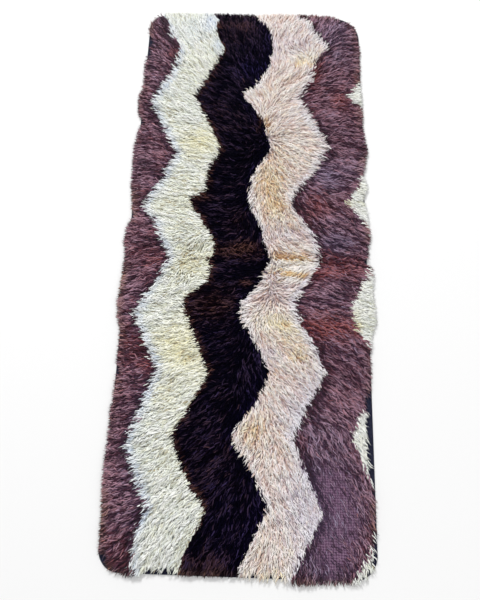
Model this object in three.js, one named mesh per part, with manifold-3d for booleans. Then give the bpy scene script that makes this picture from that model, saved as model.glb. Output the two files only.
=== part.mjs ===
// A plush bedside rug lying flat. A thick pile cloth in zigzag stripes lies on a thin dark felt backing, whose
// edge shows past the pile here and there. Millimetres, +Z up, the origin at the middle of the underside, and
// +Y along the rug's length, towards its far end.
import * as THREE from "three";
import { mergeVertices } from "three/addons/utils/BufferGeometryUtils.js";
import Module from "manifold-3d";

// Driving dimensions of the rug
const RUG_LENGTH = 1500;
const BACKING_WIDTH = 600;
const BACKING_NEAR = -742;
const BACKING_FAR = 747;
const BACKING_THICKNESS = 2;
const BACKING_CORNER_STEPS = 10;
const PIECE_GAP = 0.3;

// Radii of the round corners: the pile's, out at the tips of its locks, and the felt's
const PILE_RADII = { farRight: 76, farLeft: 50, nearLeft: 58, nearRight: 60 };
const FELT_RADII = { farRight: 74, farLeft: 48, nearLeft: 48, nearRight: 54 };

// Heights of the pile above the floor
const PILE_BOTTOM = BACKING_THICKNESS + PIECE_GAP;
const BELLY_HEIGHT = 9;
const SHOULDER_HEIGHT = 15;
const PILE_HEIGHT = 22;

// The pile's solid rim, in plan: how far its shoulder lies inside the tips of the locks, and how far its belly
// and its foot stand out from that shoulder
const SHOULDER_INSET = 24;
const BELLY_BULGE = 8;
const FOOT_BULGE = 4;
const CROWN_WIDTH = 34;

// Lumps of matted tufts in the pile's top: ridges that run outwards and wander with two slow waves, given in
// radians per millimetre, and breaks across them that drift aside along the rug
const LUMP_HEIGHT = 3.2;
const LUMP_SHARES = { ridge: 0.45, brokenRidge: 0.35, breaks: 0.2 };
const RIDGE_PITCH = 58;
const RIDGE_WANDER = 24;
const WANDER_WAVES = [
  { alongX: 0.012, alongY: 0.003 },
  { alongX: 0.027, alongY: -0.011 },
];
const BREAK_PITCH = 135;
const BREAK_DRIFT = 2.6;
const BREAK_DRIFT_WAVE = 0.014;
const LUMP_SHARE_AT_SHOULDER = 0.35;

// Locks at the rim: flat tongues that overlap, each with its root inside the slab. They are spaced evenly on a
// line around the rug at a given distance from the shoulder.
const LOCK_LINE = 12;
const LOCK_PITCH = 17;
const LOCK_LENGTH = 34;
const LOCK_WIDTH = 25;
const LOCK_FLATNESS = 0.46;
const LOCK_SIDES = 3;
const LOCK_STEPS = 2;
const LOCK_ROOT_HEIGHT = 6.4;
const LOCK_TIP_HEIGHT = 4.3;
const LOCK_SWAY = 0.26;
const SHORTEST_REACH = 6;
const SLIVER = 0.08;
const SAME_PLACE = 0.001;

// The rug's outline, which wavers: its reach to the left and right in rows from the far end to the near one, and
// to the near and far end in columns from the right side to the left one. It is smooth from place to place.
const SIDES = [
  { y: 750, left: -304, right: 296 },
  { y: 690, left: -304, right: 298 },
  { y: 630, left: -303, right: 304 },
  { y: 576, left: -307, right: 302 },
  { y: 535, left: -306, right: 301 },
  { y: 495, left: -306, right: 303 },
  { y: 456, left: -316, right: 305 },
  { y: 417, left: -313, right: 305 },
  { y: 378, left: -302, right: 304 },
  { y: 340, left: -308, right: 309 },
  { y: 303, left: -314, right: 315 },
  { y: 265, left: -313, right: 308 },
  { y: 235, left: -312, right: 302 },
  { y: 195, left: -312, right: 311 },
  { y: 159, left: -307, right: 299 },
  { y: 125, left: -303, right: 308 },
  { y: 97, left: -302, right: 310 },
  { y: 57, left: -313, right: 314 },
  { y: 25, left: -315, right: 308 },
  { y: -8, left: -309, right: 306 },
  { y: -41, left: -310, right: 318 },
  { y: -72, left: -311, right: 316 },
  { y: -104, left: -313, right: 315 },
  { y: -135, left: -316, right: 318 },
  { y: -166, left: -314, right: 319 },
  { y: -210, left: -303, right: 308 },
  { y: -255, left: -303, right: 302 },
  { y: -370, left: -303, right: 301 },
  { y: -400, left: -307, right: 301 },
  { y: -450, left: -306, right: 301 },
  { y: -530, left: -309, right: 301 },
  { y: -656, left: -303, right: 300 },
  { y: -700, left: -301, right: 304 },
  { y: -750, left: -300, right: 302 },
];
const ENDS = [
  { x: 300, near: -746, far: 748 },
  { x: 250, near: -751, far: 751 },
  { x: 200, near: -756, far: 756 },
  { x: 130, near: -757, far: 757 },
  { x: 60, near: -749, far: 757 },
  { x: 0, near: -744, far: 753 },
  { x: -90, near: -746, far: 754 },
  { x: -150, near: -747, far: 757 },
  { x: -213, near: -756, far: 757 },
  { x: -300, near: -748, far: 755 },
];
const END_STRETCH_START = 600;

// The stripes' borders a to e, across the rug, in each row where the zigzags turn. The rows run from the far end to
// the near one. Between rows a border is straight.
const ROWS = [
  { y: 750, a: -272, b: -116, c: 6, d: 142, e: 330 },
  { y: 625, a: -208, b: -84, c: 56, d: 205, e: 335 },
  { y: 475, a: -262, b: -148, c: -18, d: 137, e: 264 },
  { y: 305, a: -203, b: -81, c: 53, d: 205, e: 340 },
  { y: 148, a: -262, b: -153, c: -1, d: 112, e: 260 },
  { y: -28, a: -200, b: -87, c: 52, d: 176, e: 310 },
  { y: -130, a: -256, b: -153, c: -10, d: 117, e: 262 },
  { y: -302, a: -208, b: -86, c: 61, d: 190, e: 330 },
  { y: -448, a: -258, b: -158, c: -24, d: 117, e: 252 },
  { y: -610, a: -206, b: -80, c: 58, d: 181, e: 305 },
  { y: -750, a: -220, b: -130, c: -18, d: 116, e: 244 },
];

// The stripes from left to right: the border that ends each one, its colour and its cells across in the mesh
const STRIPES = [
  { until: "a", colour: 0x5f4653, cells: 3 },
  { until: "b", colour: 0xd3d2c4, cells: 5 },
  { until: "c", colour: 0x180d18, cells: 5 },
  { until: "d", colour: 0xccbbae, cells: 6 },
  { until: "e", colour: 0x664856, cells: 5 },
  { until: "right", colour: 0xdcdccf, cells: 1 },
];
const THINNEST_STRIPE = 3;

// Creases where the rug was folded for storage: the place on the middle line, the slant across, and the depth
const CREASES = [
  { y: -12, slant: -0.07, depth: 4.2, halfWidth: 24 },
  { y: -172, slant: -0.11, depth: 2.8, halfWidth: 24 },
];
const CREASE_SHARE_AT_SHOULDER = 0.5;

// The patch near one corner where feet have pressed the pile down, how far out it is flat and where it ends, as
// shares of its half width and half length, and how much of the lumps is left in it
const WORN_PATCH = { x: 205, y: -610, halfWidth: 85, halfLength: 175, depth: 4.5 };
const WORN_FLAT_SHARE = 0.45;
const WORN_END_SHARE = 1.1;
const LUMPS_LEFT_IN_PATCH = 0.2;

// The mesh's rows between two turns of the zigzag and in a quarter of a round corner, and the least space between
// the last of the first and the first of the second
const STEPS_PER_TURN = 8;
const STEPS_PER_CORNER = 4;
const LEAST_ROW_SPACE = 4;

// How evenly the locks are spaced, and how much their widths vary, as shares
const PITCH_JITTER = 0.25;
const WIDTH_JITTER = 0.16;

const wasm = await Module();
wasm.setup();

// A repeatable stand-in for chance, from -1 to 1
function chance(index, salt) {
  const value = Math.sin(index * 12.9898 + salt * 78.233) * 43758.5453;
  return 2 * (value - Math.floor(value)) - 1;
}

function smooth(from, to, value) {
  return THREE.MathUtils.smoothstep(value, from, to);
}

// The two entries of a table around a place along one of its axes, and how far the place is from the first to the
// second. The tables run from high to low.
function entriesAround(table, axis, place) {
  const last = table.length - 1;
  let index = table.findIndex((entry) => entry[axis] <= place);
  if (index < 0) index = last;
  index = Math.max(1, index);
  const [upper, lower] = [table[index - 1], table[index]];
  return [upper, lower, THREE.MathUtils.clamp((upper[axis] - place) / (upper[axis] - lower[axis]), 0, 1)];
}

// Across the rug at y, a border is straight between two rows
function border(name, y) {
  const [upper, lower, share] = entriesAround(ROWS, "y", y);
  return THREE.MathUtils.lerp(upper[name], lower[name], share);
}

function side(name, y) {
  const [upper, lower, share] = entriesAround(SIDES, "y", y);
  return THREE.MathUtils.lerp(upper[name], lower[name], smooth(0, 1, share));
}

function end(name, x) {
  const [upper, lower, share] = entriesAround(ENDS, "x", x);
  return THREE.MathUtils.lerp(upper[name], lower[name], smooth(0, 1, share));
}

// How far a point near an end moves along the rug, for the ends to waver
function endStretch(x, y) {
  const share = smooth(END_STRETCH_START, RUG_LENGTH / 2 - SHOULDER_INSET, Math.abs(y));
  return share * (y > 0 ? end("far", x) - RUG_LENGTH / 2 : end("near", x) + RUG_LENGTH / 2);
}

// How far a round corner takes the side in at y, for an outline that ends at halfLength
function cornerInset(y, halfLength, radius) {
  const past = Math.max(0, Math.abs(y) - (halfLength - radius));
  return radius - Math.sqrt(Math.max(0, radius * radius - past * past));
}

// The mesh's rows along the rug: even steps between turns, and even angles around the corners
function meshRows(halfLength, radius) {
  const straight = halfLength - radius;
  const ys = [];
  for (let i = 0; i + 1 < ROWS.length; i++)
    for (let k = 0; k < STEPS_PER_TURN; k++)
      ys.push(THREE.MathUtils.lerp(ROWS[i].y, ROWS[i + 1].y, k / STEPS_PER_TURN));
  const inner = ys.filter((y) => Math.abs(y) < straight - LEAST_ROW_SPACE);
  const arc = [];
  for (let k = 0; k <= STEPS_PER_CORNER; k++)
    arc.push(straight + radius * Math.sin((k / STEPS_PER_CORNER) * (Math.PI / 2)));
  return [...arc.toReversed(), ...inner, ...arc.map((y) => -y)];
}

// Where the mesh's columns cross a row: every border is a column, kept inside the sides with a little between
function meshColumns(y, left, right) {
  const xs = [left];
  STRIPES.forEach((stripe, index) => {
    const stripesAfter = STRIPES.length - 1 - index;
    const least = xs.at(-1) + THINNEST_STRIPE;
    const most = right - stripesAfter * THINNEST_STRIPE;
    const from = xs.at(-1);
    const to = stripe.until === "right" ? right : Math.max(least, Math.min(most, border(stripe.until, y)));
    for (let k = 1; k <= stripe.cells; k++) xs.push(THREE.MathUtils.lerp(from, to, k / stripe.cells));
  });
  return xs;
}

// The lumps that matted tufts make, from -1 to 1: ridges that wander outwards, broken up and nowhere the same
function lump(x, y) {
  const waves = WANDER_WAVES.map(({ alongX, alongY }) => Math.sin(alongX * x + alongY * y));
  const wander = RIDGE_WANDER * (waves[0] + waves[1]);
  const ridge = Math.sin((2 * Math.PI * (y + wander)) / RIDGE_PITCH);
  const breaks = Math.sin((2 * Math.PI * x) / BREAK_PITCH + BREAK_DRIFT * Math.sin(BREAK_DRIFT_WAVE * y));
  const { ridge: plain, brokenRidge, breaks: across } = LUMP_SHARES;
  return plain * ridge + brokenRidge * ridge * breaks + across * breaks;
}

function pressedDown(x, y) {
  const { x: midX, y: midY, halfWidth, halfLength } = WORN_PATCH;
  const away = Math.hypot((x - midX) / halfWidth, (y - midY) / halfLength);
  return 1 - smooth(WORN_FLAT_SHARE, WORN_END_SHARE, away);
}

// The height of the pile's top, given how far the point lies inside the pile's shoulder
function pileTop(x, y, inside) {
  const crown = smooth(0, CROWN_WIDTH, inside);
  const pressed = pressedDown(x, y);
  const lumpShare = THREE.MathUtils.lerp(LUMP_SHARE_AT_SHOULDER, 1, crown);
  const lumpLeft = THREE.MathUtils.lerp(1, LUMPS_LEFT_IN_PATCH, pressed);
  let height = THREE.MathUtils.lerp(SHOULDER_HEIGHT, PILE_HEIGHT - LUMP_HEIGHT, crown);
  height += LUMP_HEIGHT * lump(x, y) * lumpShare * lumpLeft;
  height -= WORN_PATCH.depth * pressed * crown;
  const creaseShare = THREE.MathUtils.lerp(CREASE_SHARE_AT_SHOULDER, 1, crown);
  for (const crease of CREASES) {
    const off = (y - crease.y - crease.slant * x) / crease.halfWidth;
    height -= crease.depth * creaseShare * Math.exp(-off * off);
  }
  return height;
}

// A closed triangle mesh from points and faces
function geometryFrom(points, faces) {
  const geometry = new THREE.BufferGeometry();
  geometry.setAttribute("position", new THREE.Float32BufferAttribute(points.flatMap((p) => [p.x, p.y, p.z]), 3));
  geometry.setIndex(faces.flat());
  return geometry;
}

function solidFrom(geometry) {
  const bare = geometry.clone();
  bare.deleteAttribute("normal");
  bare.deleteAttribute("uv");
  const merged = mergeVertices(bare, SAME_PLACE);
  const vertProperties = merged.attributes.position.array;
  const triVerts = new Uint32Array(merged.index.array);
  return new wasm.Manifold(new wasm.Mesh({ numProp: 3, vertProperties, triVerts }));
}

function geometryOf(solid) {
  const mesh = solid.getMesh();
  const geometry = new THREE.BufferGeometry();
  geometry.setAttribute("position", new THREE.Float32BufferAttribute(mesh.vertProperties, 3));
  geometry.setIndex(new THREE.Uint32BufferAttribute(mesh.triVerts, 1));
  return geometry;
}

// The points around the mesh's edge, anticlockwise from above, with the way out at each
function rimOf(points, rows, columns) {
  const at = (row, column) => row * columns + column;
  const indexes = [];
  for (let row = 0; row < rows - 1; row++) indexes.push(at(row, 0));
  for (let column = 0; column < columns - 1; column++) indexes.push(at(rows - 1, column));
  for (let row = rows - 1; row > 0; row--) indexes.push(at(row, columns - 1));
  for (let column = columns - 1; column > 0; column--) indexes.push(at(0, column));
  const count = indexes.length;
  return indexes.map((index, k) => {
    const before = points[indexes[(k + count - 1) % count]];
    const after = points[indexes[(k + 1) % count]];
    const out = new THREE.Vector2(after.y - before.y, before.x - after.x).normalize();
    return { index, point: points[index], out };
  });
}

// A ring of points outside the shoulder, at one height
function ringOutside(rim, bulge, height) {
  return rim.map(({ point, out }) => new THREE.Vector3(point.x + bulge * out.x, point.y + bulge * out.y, height));
}

// The pile without its locks: a lumpy top, a rounded side and a flat underside
function lumpySlab() {
  const halfLength = RUG_LENGTH / 2 - SHOULDER_INSET;
  const { farRight, farLeft, nearLeft, nearRight } = PILE_RADII;
  const ys = meshRows(halfLength, Math.max(farRight, farLeft, nearLeft, nearRight) - SHOULDER_INSET);
  const points = [];
  for (const y of ys) {
    const [leftRadius, rightRadius] = y > 0 ? [farLeft, farRight] : [nearLeft, nearRight];
    const left = side("left", y) + SHOULDER_INSET + cornerInset(y, halfLength, leftRadius - SHOULDER_INSET);
    const right = side("right", y) - SHOULDER_INSET - cornerInset(y, halfLength, rightRadius - SHOULDER_INSET);
    for (const x of meshColumns(y, left, right)) {
      const inside = Math.min(x - left, right - x, halfLength - Math.abs(y));
      points.push(new THREE.Vector3(x, y + endStretch(x, y), pileTop(x, y, inside)));
    }
  }
  const columns = points.length / ys.length;
  const faces = [];
  for (let row = 0; row + 1 < ys.length; row++)
    for (let column = 0; column + 1 < columns; column++) {
      const far = row * columns + column;
      const near = far + columns;
      faces.push([near, near + 1, far], [near + 1, far + 1, far]);
    }
  const rim = rimOf(points, ys.length, columns);
  let upper = rim.map(({ index }) => index);
  for (const [bulge, height] of [[BELLY_BULGE, BELLY_HEIGHT], [FOOT_BULGE, PILE_BOTTOM]]) {
    const first = points.length;
    points.push(...ringOutside(rim, bulge, height));
    const lower = rim.map((_, k) => first + k);
    upper.forEach((corner, k) => {
      const next = (k + 1) % rim.length;
      faces.push([corner, lower[k], lower[next]], [corner, lower[next], upper[next]]);
    });
    upper = lower;
  }
  const foot = upper.map((index) => new THREE.Vector2(points[index].x, points[index].y));
  for (const [p, q, r] of THREE.ShapeUtils.triangulateShape(foot, [])) faces.push([upper[r], upper[q], upper[p]]);
  return { slab: solidFrom(geometryFrom(points, faces)), rim };
}

// Places along the line of the locks, one pitch apart, with the way out at each
function lockPlaces(rim) {
  const ring = ringOutside(rim, LOCK_LINE, LOCK_ROOT_HEIGHT);
  const line = new THREE.CurvePath();
  ring.forEach((point, k) => {
    const next = ring[(k + 1) % ring.length];
    line.add(new THREE.LineCurve(new THREE.Vector2(point.x, point.y), new THREE.Vector2(next.x, next.y)));
  });
  const count = Math.round(line.getLength() / LOCK_PITCH);
  return Array.from({ length: count }, (_, k) => {
    const share = (k + 0.5 + PITCH_JITTER * chance(k, 1)) / count;
    const along = line.getTangent(share);
    return { point: line.getPoint(share), out: new THREE.Vector2(along.y, -along.x) };
  });
}

// One lock: a flat cone of three sides with its ridge up, blunt, bent aside and sinking towards its tip
function lock({ point, out }, index) {
  const reach = SHOULDER_INSET - LOCK_LINE - SHORTEST_REACH * (0.5 + 0.5 * chance(index, 2));
  const width = LOCK_WIDTH * (1 + WIDTH_JITTER * chance(index, 3));
  const tipHeight = LOCK_TIP_HEIGHT + chance(index, 4);
  const bend = LOCK_SWAY * LOCK_LENGTH * chance(index, 5);
  const cone = new THREE.ConeGeometry(width / 2, LOCK_LENGTH, LOCK_SIDES, LOCK_STEPS);
  cone.translate(0, LOCK_LENGTH / 2, 0);
  const place = cone.attributes.position;
  for (let i = 0; i < place.count; i++) {
    const along = place.getY(i) / LOCK_LENGTH;
    const fuller = 1 + along;
    const aside = fuller * place.getX(i) + bend * along * along;
    const outwards = reach - LOCK_LENGTH * (1 - along);
    const middle = THREE.MathUtils.lerp(LOCK_ROOT_HEIGHT, tipHeight, along * along);
    const x = point.x + out.x * outwards + out.y * aside;
    const y = point.y + out.y * outwards - out.x * aside;
    place.setXYZ(i, x, y, middle + LOCK_FLATNESS * fuller * place.getZ(i));
  }
  return solidFrom(cone);
}

// The solid's outer surface alone, without slivers and the small voids that crossing locks close in
function tidied(solid) {
  const shells = solid.simplify(SLIVER).decompose();
  return shells.reduce((largest, shell) => (shell.volume() > largest.volume() ? shell : largest));
}

// The colour of the stripe that a face lies in
function stripeColour(x, y) {
  const stripe = STRIPES.find(({ until }) => until === "right" || x < border(until, y));
  return new THREE.Color(stripe.colour);
}

// The same faces, each with the colour of its stripe
function colouredByStripe(geometry) {
  const loose = geometry.toNonIndexed();
  const place = loose.attributes.position;
  const colours = [];
  for (let i = 0; i < place.count; i += 3) {
    const x = (place.getX(i) + place.getX(i + 1) + place.getX(i + 2)) / 3;
    const y = (place.getY(i) + place.getY(i + 1) + place.getY(i + 2)) / 3;
    const { r, g, b } = stripeColour(x, y);
    colours.push(r, g, b, r, g, b, r, g, b);
  }
  loose.setAttribute("color", new THREE.Float32BufferAttribute(colours, 3));
  loose.computeVertexNormals();
  return loose;
}

function makePile() {
  const { slab, rim } = lumpySlab();
  const whole = lockPlaces(rim).reduce((solid, place, index) => solid.add(lock(place, index)), slab);
  const material = new THREE.MeshStandardMaterial({ vertexColors: true, roughness: 0.95, metalness: 0 });
  const mesh = new THREE.Mesh(colouredByStripe(geometryOf(tidied(whole))), material);
  mesh.name = "pile";
  return mesh;
}

// The felt under the pile: a plain sheet with round corners
function makeBacking() {
  const right = BACKING_WIDTH / 2;
  const { farRight, farLeft, nearLeft, nearRight } = FELT_RADII;
  const outline = new THREE.Shape();
  outline.absarc(right - farRight, BACKING_FAR - farRight, farRight, 0, Math.PI / 2);
  outline.absarc(farLeft - right, BACKING_FAR - farLeft, farLeft, Math.PI / 2, Math.PI);
  outline.absarc(nearLeft - right, BACKING_NEAR + nearLeft, nearLeft, Math.PI, 1.5 * Math.PI);
  outline.absarc(right - nearRight, BACKING_NEAR + nearRight, nearRight, 1.5 * Math.PI, 2 * Math.PI);
  const options = { depth: BACKING_THICKNESS, bevelEnabled: false, curveSegments: BACKING_CORNER_STEPS };
  const material = new THREE.MeshStandardMaterial({ color: 0x0b0c1c, roughness: 0.9, metalness: 0 });
  const mesh = new THREE.Mesh(new THREE.ExtrudeGeometry(outline, options), material);
  mesh.name = "backing";
  return mesh;
}

const rug = new THREE.Group();
rug.add(makeBacking(), makePile());

export default rug;
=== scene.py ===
import math

import bpy
import numpy as np
from mathutils import Matrix, Vector


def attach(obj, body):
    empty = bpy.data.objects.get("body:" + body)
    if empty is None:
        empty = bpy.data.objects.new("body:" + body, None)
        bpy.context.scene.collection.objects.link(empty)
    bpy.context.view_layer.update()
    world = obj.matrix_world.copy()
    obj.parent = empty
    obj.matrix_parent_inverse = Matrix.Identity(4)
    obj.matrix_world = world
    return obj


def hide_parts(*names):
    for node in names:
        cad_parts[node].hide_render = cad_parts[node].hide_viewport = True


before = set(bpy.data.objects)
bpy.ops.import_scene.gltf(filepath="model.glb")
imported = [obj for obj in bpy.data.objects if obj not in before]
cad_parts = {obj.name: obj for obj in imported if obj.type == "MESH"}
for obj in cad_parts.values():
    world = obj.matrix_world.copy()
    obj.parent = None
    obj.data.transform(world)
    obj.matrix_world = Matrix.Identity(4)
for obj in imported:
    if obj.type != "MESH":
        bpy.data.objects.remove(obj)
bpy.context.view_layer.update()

MILLIMETRE = 0.001

# The camera, in metres and degrees
CAMERA_PLACE = (0.0165, -0.5875, 1.3962)
CAMERA_TARGET = (-0.0133, -0.1205, 0.0)
CAMERA_ROLL = -1.87
CAMERA_LENS = 36.0

# The soft lights, in metres and watts, and how far the floor reaches
LIGHTS = (
    {"name": "key", "place": (-2.0, 5.0, 4.6), "size": 1.6, "power": 370},
    {"name": "fill", "place": (2.6, -3.6, 4.4), "size": 4.0, "power": 90},
)
WORLD_STRENGTH = 0.5
FLOOR_REACH = 6000

# The rug's own sizes
RUG_LENGTH = 1500
PILE_BOTTOM = 2.3
SHOULDER_INSET = 24
SHOULDER_HEIGHT = 15
PILE_HEIGHT = 22
CROWN_WIDTH = 34

# Lumps of matted tufts in the pile's top: ridges that run outwards and wander with two slow waves, given in
# radians per millimetre, and breaks across them that drift aside along the rug
LUMP_HEIGHT = 3.2
LUMP_SHARES = {"ridge": 0.45, "broken_ridge": 0.35, "breaks": 0.2}
RIDGE_PITCH = 58
RIDGE_WANDER = 24
WANDER_WAVES = ({"along_x": 0.012, "along_y": 0.003}, {"along_x": 0.027, "along_y": -0.011})
BREAK_PITCH = 135
BREAK_DRIFT = 2.6
BREAK_DRIFT_WAVE = 0.014
LUMP_SHARE_AT_SHOULDER = 0.35

# The outline, which wavers: its reach to the left and right in rows from the near end to the far one, and
# to the near and far end in columns from the left side to the right one. It is smooth from place to place.
SIDE_FIELDS = ("y", "left", "right")
SIDES = (
    (-750, -300, 302),
    (-700, -301, 304),
    (-656, -303, 300),
    (-530, -309, 301),
    (-450, -306, 301),
    (-400, -307, 301),
    (-370, -303, 301),
    (-255, -303, 302),
    (-210, -303, 308),
    (-166, -314, 319),
    (-135, -316, 318),
    (-104, -313, 315),
    (-72, -311, 316),
    (-41, -310, 318),
    (-8, -309, 306),
    (25, -315, 308),
    (57, -313, 314),
    (97, -302, 310),
    (125, -303, 308),
    (159, -307, 299),
    (195, -312, 311),
    (235, -312, 302),
    (265, -313, 308),
    (303, -314, 315),
    (340, -308, 309),
    (378, -302, 304),
    (417, -313, 305),
    (456, -316, 305),
    (495, -306, 303),
    (535, -306, 301),
    (576, -307, 302),
    (630, -303, 304),
    (690, -304, 296),
    (750, -304, 290),
)
END_FIELDS = ("x", "near", "far")
ENDS = (
    (-300, -748, 755),
    (-213, -753, 757),
    (-150, -747, 757),
    (-90, -746, 754),
    (0, -744, 753),
    (60, -749, 757),
    (130, -757, 757),
    (200, -755, 753),
    (250, -753, 748),
    (300, -746, 746),
)

# How far from the middle the ends begin to waver, and the radii of the round corners
END_STRETCH_START = 600
CORNER_RADII = {"near_left": 50, "near_right": 50, "far_left": 44, "far_right": 54}

# The stripes from left to right: the border that each begins at, how ragged that border is, and its plush
STRIPES = (
    {"name": "mauve_left", "border": "left", "ragged": 0, "plush": "mauve"},
    {"name": "cream_left", "border": "a", "ragged": 10, "plush": "cream"},
    {"name": "black_middle", "border": "b", "ragged": 2, "plush": "black"},
    {"name": "beige_middle", "border": "c", "ragged": 6, "plush": "beige"},
    {"name": "mauve_right", "border": "d", "ragged": 9.5, "plush": "mauve"},
    {"name": "cream_right", "border": "e", "ragged": 9, "plush": "cream"},
)
MAUVE_LEFT, CREAM_LEFT, BLACK, BEIGE, MAUVE_RIGHT, CREAM_RIGHT = range(len(STRIPES))

# The places where the zigzag borders turn, each as how far along the rug and how far across it
TURN_FIELDS = ("y", "x")
BORDERS = {
    "a": (
        (-750, -220), (-680, -227), (-615, -204), (-480, -265), (-380, -233), (-302, -206), (-220, -246),
        (-165, -272), (-60, -212), (-20, -192), (20, -214), (50, -232), (80, -238), (120, -274),
        (180, -242), (260, -204), (280, -197), (360, -238), (440, -274), (460, -270), (480, -256),
        (540, -224), (600, -210), (620, -205), (640, -212), (660, -232), (720, -250), (750, -270),
    ),
    "b": (
        (-750, -124), (-704, -119), (-640, -83), (-606, -77), (-556, -116), (-455, -160), (-310, -82),
        (-150, -150), (-125, -153), (-85, -100), (-40, -89), (-20, -98), (-5, -82), (20, -84),
        (40, -92), (80, -116), (144, -154), (170, -112), (220, -112), (240, -104), (300, -78),
        (460, -156), (620, -80), (680, -108), (700, -107), (720, -99), (750, -118),
    ),
    "c": (
        (-750, -5), (-690, 19), (-600, 64), (-500, 7), (-450, -24), (-430, -12), (-385, 28),
        (-300, 63), (-230, 22), (-195, 2), (-175, -10), (-130, -12), (-98, 25), (-60, 42),
        (-15, 56), (40, 42), (70, 32), (120, 6), (160, -2), (210, 6), (300, 55),
        (385, 32), (430, 2), (455, -20), (474, -22), (498, 14), (520, 16), (545, 40),
        (620, 57), (680, 51), (720, 22), (750, 2),
    ),
    "d": (
        (-750, 113), (-610, 183), (-455, 116), (-300, 192), (-240, 172), (-187, 137), (-149, 125),
        (-128, 122), (-30, 180), (10, 182), (40, 174), (100, 132), (145, 108), (200, 150),
        (240, 178), (310, 208), (465, 132), (520, 166), (580, 172), (630, 212), (650, 204),
        (690, 170), (725, 164), (750, 132),
    ),
    "e": (
        (-750, 244), (-700, 276), (-620, 306), (-560, 303), (-515, 277), (-440, 252), (-350, 298),
        (-290, 330), (-223, 296), (-205, 281), (-187, 265), (-160, 258), (-130, 258), (-80, 286),
        (-50, 304), (30, 322), (95, 298), (142, 252), (160, 264), (225, 295), (310, 340),
        (430, 306), (472, 262), (525, 302), (620, 335), (750, 330),
    ),
}

# Which way the pile lies, in degrees from +X towards +Y. Its columns are places across the rug, and its
# rows are places along it.
FLOW_X = (-300, -180, -60, 30, 90, 190, 300)
FLOW = {
    -745: (215, 242, 258, 262, 270, 272, 285),
    -660: (202, 230, 235, 248, 280, 288, 300),
    -590: (200, 222, 228, 275, 296, 298, 303),
    -480: (198, 214, 212, 230, 296, 305, 305),
    -410: (194, 208, 208, 262, 300, 310, 307),
    -330: (190, 200, 205, 292, 306, 320, 310),
    -200: (188, 192, 200, 288, 312, 335, 335),
    -125: (187, 189, 192, 205, 325, 340, 343),
    -50: (186, 186, 180, 172, 0, 345, 350),
    100: (182, 180, 172, 280, 305, 325, 345),
    250: (180, 178, 165, 270, 300, 345, 350),
    400: (175, 168, 160, 105, 20, 355, 355),
    520: (160, 150, 145, 112, 50, 15, 0),
    640: (150, 125, 125, 105, 60, 40, 10),
    745: (125, 95, 95, 95, 80, 80, 50),
}

# Creases where the rug was folded for storage: place on the middle line, slant across, depth and width
CREASES = (
    {"y": -12, "slant": -0.07, "depth": 4.2, "half_width": 24},
    {"y": -172, "slant": -0.11, "depth": 2.8, "half_width": 24},
)
CREASE_SHARE_AT_SHOULDER = 0.5

# The patch near one corner where feet have pressed the pile down, how far out it is flat and where it ends,
# as shares of its half sizes, how much less of each thing there is in it, and how far from the beige stripe
# its locks are fewest
WORN_PATCH = {"x": 205, "y": -610, "half_width": 85, "half_length": 175, "depth": 4.5}
WORN_FLAT_SHARE = 0.45
WORN_END_SHARE = 1.1
WORN_LESS = {
    "lumps": 0.8,
    "locks": 0.75,
    "run": 0.35,
    "pull": 0.6,
    "lift": 0.75,
    "tip": 0.8,
    "width": 0.3,
    "ragged": 0.6,
}
WORN_FROM_BORDER = 24

# Kinds of noise, each with the size of its lumps and its seed
NOISES = {
    "flow_aside": (42, 13),
    "flow_slow": (75, 11),
    "flow_quick": (26, 12),
    "tuft": (6.5, 40),
    "clump": (6.5, 67),
    "warm": (60, 61),
    "cool": (80, 62),
    "light_fine": (14, 63),
    "light_coarse": (45, 64),
    "tan": (70, 66),
    "ragged": (6, 71),
}

# How far the flow of the pile wanders: aside in millimetres, and in its angle in degrees
FLOW_WANDER = {"aside": 22, "slow": 13, "quick": 8}

# Places where the lie of the pile turns, in degrees at the middle
SWIRL_FIELDS = ("x", "y", "radius", "turn")
SWIRLS = (
    (140, 600, 46, 125),
    (-140, 20, 40, 35),
    (-95, 25, 26, 80),
    (-150, -60, 36, 50),
    (120, -70, 40, 40),
    (215, -690, 30, 50),
)

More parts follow.
